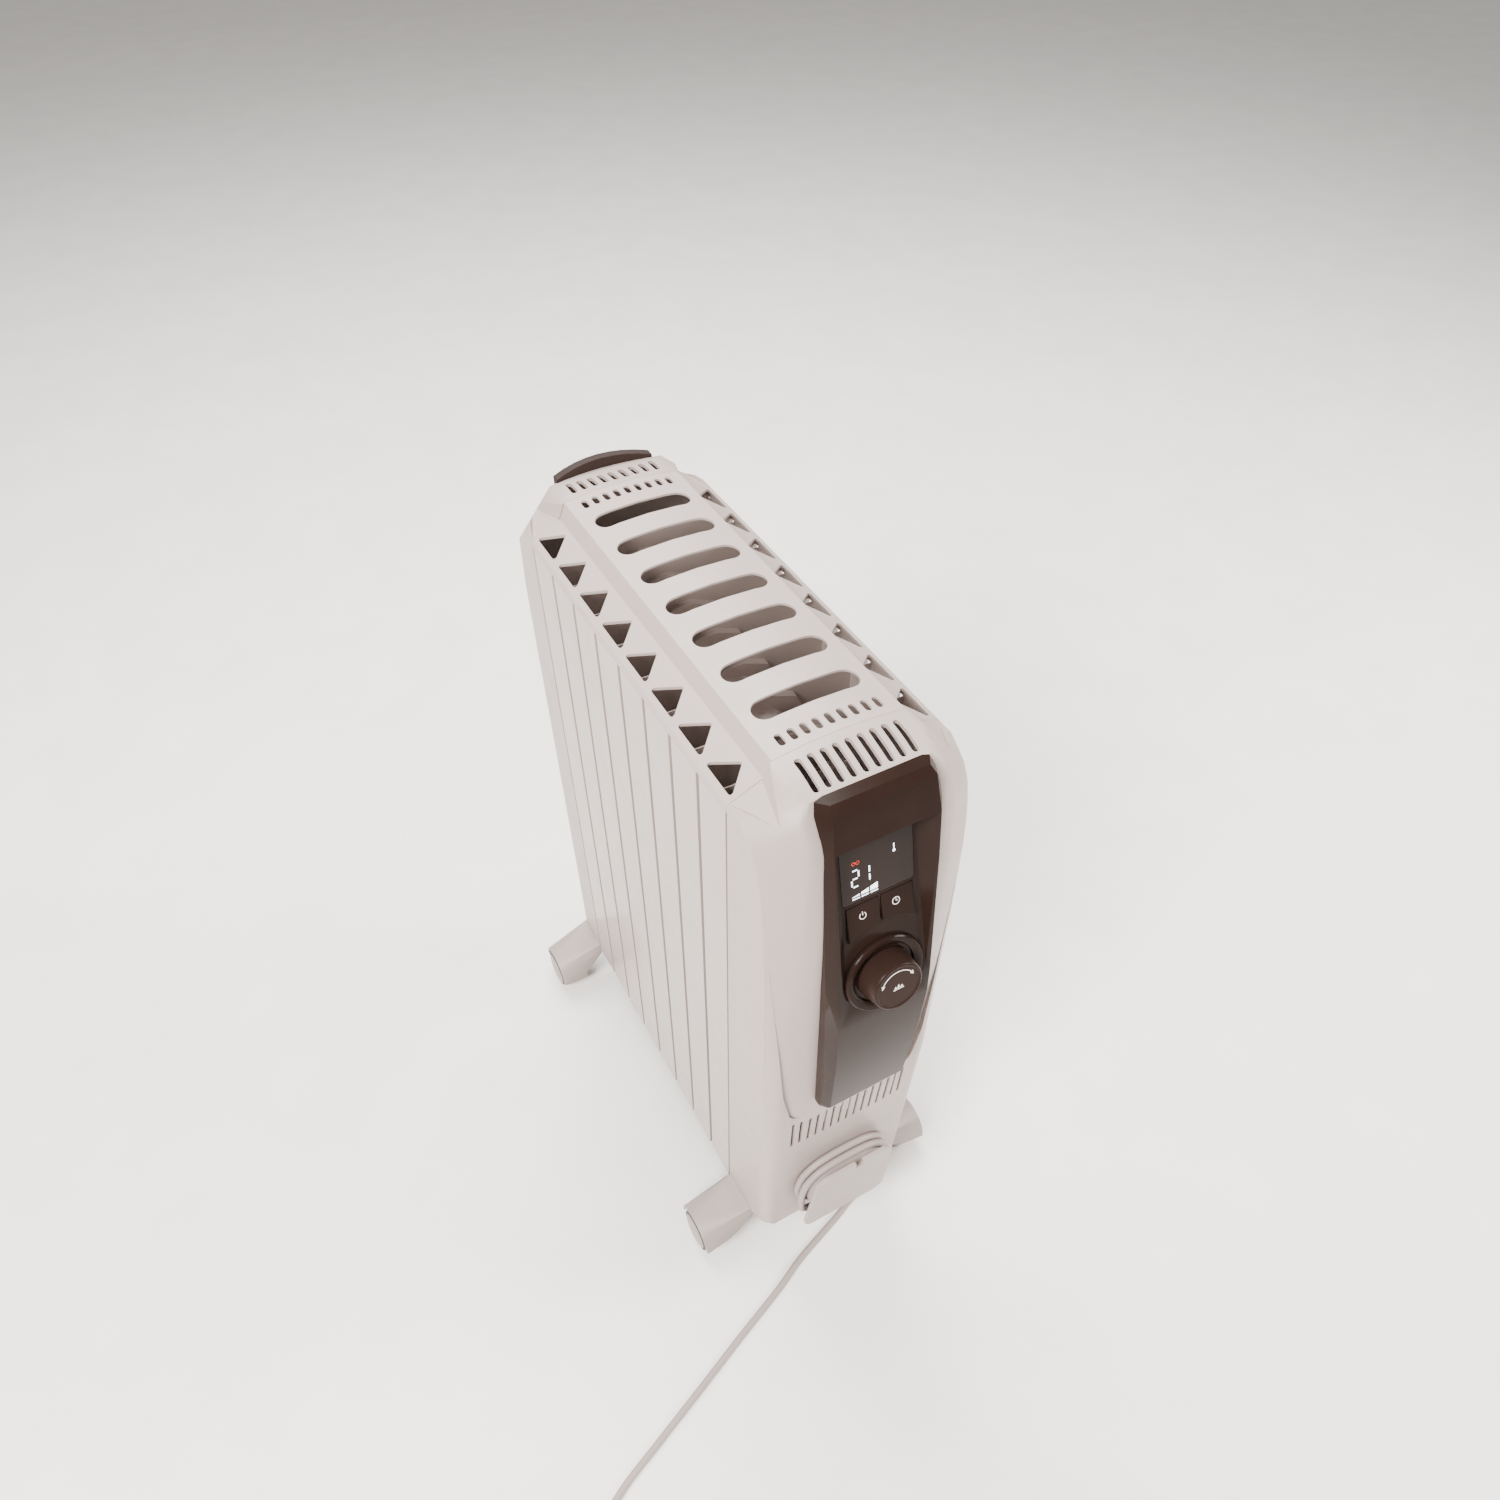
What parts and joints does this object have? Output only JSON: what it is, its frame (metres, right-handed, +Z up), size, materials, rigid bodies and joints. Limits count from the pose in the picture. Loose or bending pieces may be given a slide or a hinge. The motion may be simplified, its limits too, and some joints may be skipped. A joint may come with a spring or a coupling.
{
  "type": "oil filled radiator heater",
  "caption": "Upright oil filled heater: a row of steel fins under a vented cover, a dark control panel with display and knob at one end, cord wrap, four wheels.",
  "frame": {"origin": "on the floor under the middle of the heater, measured without its cord", "axes": "+Z up, -Y towards the control panel's end, +X to the right when facing the panel"},
  "size_m": [0.5293, 0.7363, 0.6677],
  "materials": {
    "enamel": "satin warm white enamel",
    "casing": "fine satin warm white",
    "pale_plastic": "satin",
    "grey_plastic": "satin light grey",
    "bezel_gloss": "high gloss dark brown",
    "grip_rubber": "matt",
    "window": "tinted clear",
    "dark_parts": "matt",
    "steel": "plain",
    "board": "solder resist",
    "copper_coil": "varnished",
    "cord": "satin light grey"
  },
  "bodies": {
    "heater": {"fin_1": "enamel", "fin_2": "enamel", "fin_3": "enamel", "fin_4": "enamel", "fin_5": "enamel", "fin_6": "enamel", "fin_7": "enamel", "fin_8": "enamel", "upper_front_plug": "steel", "oil_filler_plug": "steel", "lower_rear_plug": "steel", "heating_element": "steel", "heater_flange": "steel", "thermal_cutout": "pale_plastic", "top_cover": "casing", "front_housing": "casing", "front_heat_shield": "steel", "power_board": "board", "relay_1": "dark_parts", "relay_2": "dark_parts", "relay_3": "dark_parts", "terminal_block": "pale_plastic", "transformer": "copper_coil", "rear_housing": "casing", "rear_grip": "grip_rubber", "rear_heat_shield": "steel", "display_window": "window", "display_module": "dark_parts", "control_board": "board", "power_switch": "dark_parts", "timer_switch": "dark_parts", "knob_ring": "bezel_gloss", "encoder": "steel", "bezel": "bezel_gloss", "room_sensor": "dark_parts", "front_foot": "grey_plastic", "axle_front_left": "steel", "axle_front_right": "steel", "rear_foot": "grey_plastic", "axle_rear_left": "steel", "axle_rear_right": "steel", "cord_wrap_core": "grey_plastic", "cord_wrap_plate": "pale_plastic", "cord_strain_relief": "pale_plastic", "cord_winding": "cord", "cord_run": "cord", "cord_coil": "cord", "plug": "cord"},
    "knob": {"knob": "bezel_gloss", "encoder_shaft": "steel"},
    "power_button": {"power_button": "bezel_gloss"},
    "timer_button": {"timer_button": "bezel_gloss"},
    "wheel_front_left": {"wheel_front_left": "grey_plastic"},
    "wheel_front_right": {"wheel_front_right": "grey_plastic"},
    "wheel_rear_left": {"wheel_rear_left": "grey_plastic"},
    "wheel_rear_right": {"wheel_rear_right": "grey_plastic"}
  },
  "joints": [
    {"name": "knob_turn", "type": "hinge", "parent": "heater", "child": "knob", "pos_m": [0, -0.21999, 0.497], "axis": [0, -0.9664, 0.2571], "continuous": true},
    {"name": "power_button_press", "type": "slide", "parent": "heater", "child": "power_button", "axis": [0, 0.9664, -0.2571], "range_m": [0, 0.0015], "stiffness_N_per_m": 700, "springref_m": -0.0005},
    {"name": "timer_button_press", "type": "slide", "parent": "heater", "child": "timer_button", "axis": [0, 0.9664, -0.2571], "range_m": [0, 0.0015], "stiffness_N_per_m": 700, "springref_m": -0.0005},
    {"name": "wheel_front_left_spin", "type": "hinge", "parent": "heater", "child": "wheel_front_left", "pos_m": [-0.103, -0.16059, 0.024], "axis": [1, 0, 0], "continuous": true},
    {"name": "wheel_front_right_spin", "type": "hinge", "parent": "heater", "child": "wheel_front_right", "pos_m": [0.103, -0.16059, 0.024], "axis": [1, 0, 0], "continuous": true},
    {"name": "wheel_rear_left_spin", "type": "hinge", "parent": "heater", "child": "wheel_rear_left", "pos_m": [-0.103, 0.21601, 0.024], "axis": [1, 0, 0], "continuous": true},
    {"name": "wheel_rear_right_spin", "type": "hinge", "parent": "heater", "child": "wheel_rear_right", "pos_m": [0.103, 0.21601, 0.024], "axis": [1, 0, 0], "continuous": true}
  ]
}
